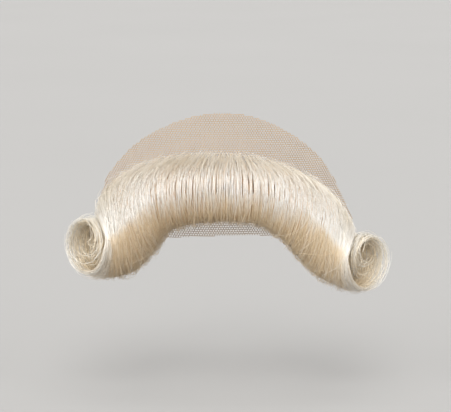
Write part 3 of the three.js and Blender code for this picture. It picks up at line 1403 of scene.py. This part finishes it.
    def fringe(self, rng: Random) -> Paths:
        """Grows short broken hairs along the root line.

        Args:
            rng: the random source.

        Returns:
            Their paths, from the knots to the tips.
        """
        style = self.broken
        number = style.number
        way = rng.uniform(*style.stretch, number) * self.length
        arc, up, _ = self.knots_for(way, style.depth * rng.random(number), rng)
        root = self.net.on_face(arc, up, self.net.wall / 2 + self.net.thread)
        leaving = self.net.outward(arc) + UP * rng.normal(*style.rise, (number, 1))
        combed = np.sign(way / self.length - 0.5) * style.comb
        leaving[:, 0] += combed + rng.normal(0, style.comb_spread, number)
        reach = rng.uniform(*style.reach, (number, 1))
        part = np.linspace(0, 1, style.steps)[None, :, None]
        droop = -UP * (reach * rng.uniform(*style.droop, (number, 1)))
        straight = root[:, None, :] + (unit(leaving) * reach)[:, None, :] * part
        points = straight + droop[:, None, :] * part ** 2
        radius = np.broadcast_to(style.radius * (1 - style.taper * part[..., 0]), points.shape[:2])
        along = np.broadcast_to(style.colour_reach * part[..., 0], points.shape[:2])
        tone = rng.uniform(*style.tone, number)
        return Paths(points, radius, along, tone, np.zeros(number), np.ones(number))

    def spread(self, low: float, high: float, number: float, rng: Random) -> Array:
        """Lengths along the roll for the whole part of a number of hairs, evenly from low to high."""
        whole = int(number)
        return low + (np.arange(whole) + rng.random(whole)) * (high - low) / whole

    def build_part(self, part: HairPart, tubes: PathTubes, finish: Material) -> Piece:
        """Makes one piece of hair.

        Args:
            part: which piece.
            tubes: the maker of tubes.
            finish: the hair's material.

        Returns:
            The piece's object.
        """
        low, high = self.way_at(part.low), self.way_at(part.high)
        long = (high - low) / MM
        sets = []
        for kind, each_mm, at_ends in (
            (HairKind.OUTER, self.outer_each_mm, self.outer_at_ends),
            (HairKind.INNER, self.inner_each_mm, self.inner_at_ends),
        ):
            way = self.spread(low, high, long * each_mm, self.rng)
            from_end = np.minimum(way, self.length - way)
            share = 1 - (1 - at_ends) * np.exp(-from_end / self.thin_within)
            sets.append(self.grow(way[self.rng.random(len(way)) < share], kind, self.rng, part.finer))
        piece = tubes.make(part.piece, sets, finish)
        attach(piece, ROOT_BODY)
        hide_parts(part.node)
        return piece

    def build_loose(self, tubes: PathTubes, finish: Material) -> Piece:
        """Makes the single hairs that have come loose.

        Args:
            tubes: the maker of tubes.
            finish: the hair's material.

        Returns:
            The piece's object.
        """
        rng = np.random.default_rng(self.seed + 2)
        whole = self.length
        sets = [self.fringe(rng)]

        def add(kind: HairKind, low: float, high: float, number: int) -> None:
            """Grows a number of hairs of one kind from one length along the roll to another."""
            sets.append(self.grow(self.spread(low, high, number, rng), kind, rng))

        add(HairKind.STRAY, 0, whole, self.strays)
        add(HairKind.HANGING, 0, whole, self.hanging)
        for ring in RING_HAIRS:
            add(ring.kind, ring.near, ring.far, ring.number)
            add(ring.kind, whole - ring.far, whole - ring.near, ring.number)
        add(HairKind.TUFT, *(share * whole for share in self.tuft_shares), self.tufts)
        piece = tubes.make("loose_hairs", sets, finish)
        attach(piece, ROOT_BODY)
        return piece

    def build_knots(self, dots: KnotDots, finish: Material) -> Piece:
        """Makes the knots that tie the hair to the net.

        Args:
            dots: the maker of knots.
            finish: the knots' material.

        Returns:
            The knots' object.
        """
        rng = np.random.default_rng(self.seed + 1)
        way = self.spread(0.0, self.length, self.knot_tries, rng)
        arc, up, _ = self.knots_for(way, rng.random(len(way)), rng)
        corners = np.unique(np.round(np.stack([arc, up], axis=-1), self.knot_digits), axis=0)
        corners = corners[self.net.inside(corners[:, 0], corners[:, 1])]
        proud = self.net.wall / 2 + self.net.thread * self.knot_proud
        places = self.net.on_face(corners[:, 0], corners[:, 1], proud)
        sizes = rng.uniform(*self.knot_sizes, len(places))
        knots = dots.make("hair_knots", places, sizes, self.knot_radius, finish)
        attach(knots, ROOT_BODY)
        return knots


@dataclass(frozen=True)
class SoftLight:
    """One large soft light, far away.

    azimuth is its degrees round from the front, positive to the right, elevation its degrees above
    level, spread the angle that it fills, and strength its watts on each square metre.
    """

    name: str
    azimuth: float
    elevation: float
    spread: float
    strength: float
    colour: Colour = (1.0, 1.0, 1.0)


LIGHTS = (
    SoftLight("key", -4, 48, 36, 1.4),
    SoftLight("front_fill", -4, 12, 50, 0.85, (1.0, 0.98, 0.95)),
    SoftLight("top", 0, 78, 50, 1.1),
    SoftLight("left_fill", -60, 26, 40, 1.2, (1.0, 0.985, 0.96)),
    SoftLight("right_fill", 60, 26, 40, 0.65, (1.0, 0.985, 0.96)),
    SoftLight("back", 165, 42, 40, 0.6, (1.0, 0.99, 0.97)),
)


@dataclass
class Studio:
    """Pale floor, soft lights and the camera at the photo's angle."""

    floor_level: float = -75 * MM
    floor_half: float = 12.0
    elevation: float = 10.0
    frame_width: float = 158.8 * MM
    lens: float = 120.0
    sensor: float = 36.0
    target: tuple[float, float, float] = (-0.2 * MM, -8.0 * MM, -4.3 * MM)
    world_colour: Colour = (0.93, 0.93, 0.94)
    world_strength: float = 0.55

    def build_floor(self) -> None:
        """Lays the floor."""
        mesh = bpy.data.meshes.new("floor")
        half, level = self.floor_half, self.floor_level
        corners = [(-half, -half, level), (half, -half, level), (half, half, level), (-half, half, level)]
        mesh.from_pydata(corners, [], [(0, 1, 2, 3)])
        floor = placed("floor", mesh)
        mesh.materials.append(FloorFinish().material())

    def add_light(self, light: SoftLight) -> None:
        """Hangs one light.

        Args:
            light: the light.
        """
        lamp = bpy.data.lights.new(light.name, "SUN")
        lamp.angle = math.radians(light.spread)
        lamp.energy = light.strength
        lamp.color = light.colour
        self.aim(placed(light.name, lamp), self.direction(light.azimuth, light.elevation), 1.0)

    def aim(self, made: Piece, towards: Vector, away: float) -> None:
        """Moves a lamp or a camera away from the target and turns it back to it.

        Args:
            made: the lamp's or the camera's object.
            towards: direction from the target to it.
            away: how far it is from the target.
        """
        made.location = Vector(self.target) + towards * away
        made.rotation_mode = "QUATERNION"
        made.rotation_quaternion = towards.to_track_quat("Z", "Y")

    @staticmethod
    def direction(azimuth: float, elevation: float) -> Vector:
        """Direction from the target to a place so many degrees right of the front and above level."""
        turn, rise = math.radians(azimuth), math.radians(elevation)
        return Vector((math.sin(turn) * math.cos(rise), -math.cos(turn) * math.cos(rise), math.sin(rise)))

    def build_lights(self) -> None:
        """Hangs the lights and lights the air."""
        for light in LIGHTS:
            self.add_light(light)
        world = bpy.data.worlds.new("studio_air")
        bpy.context.scene.world = world
        world.use_nodes = True
        graph = NodeGraph(world.node_tree)
        air = graph.node("ShaderNodeBackground", {}, {
            "Color": opaque(self.world_colour), "Strength": self.world_strength,
        })
        graph.node("ShaderNodeOutputWorld", {}, {"Surface": air})
        bpy.context.scene.view_settings.view_transform = "Standard"

    def build_camera(self) -> None:
        """Sets the camera."""
        lens = bpy.data.cameras.new("camera")
        lens.lens = self.lens
        lens.sensor_width = self.sensor
        camera = placed("camera", lens)
        self.aim(camera, self.direction(0.0, self.elevation), self.frame_width / self.sensor * self.lens)
        bpy.context.scene.camera = camera


def report(piece: Piece) -> None:
    """Logs a finished piece and its number of triangles."""
    piece.data.calc_loop_triangles()
    LOG.info("%s: %d triangles", piece.name, len(piece.data.loop_triangles))


def main() -> None:
    """Builds the moustache and its studio."""
    logging.basicConfig(level=logging.INFO)
    tubes, dots = PathTubes(), KnotDots()
    net = LaceNet()
    hair = HairRoll(net)
    hair_material = hair.finish.material()
    lace = net.build(tubes)
    knots = hair.build_knots(dots, hair_material)
    net.declare(lace)
    pieces = [lace, knots]
    pieces += [hair.build_part(part, tubes, hair_material) for part in HairPart]
    pieces.append(hair.build_loose(tubes, hair_material))
    for piece in pieces:
        report(piece)
    studio = Studio()
    studio.build_floor()
    studio.build_lights()
    studio.build_camera()


if __name__ == "__main__":
    main()
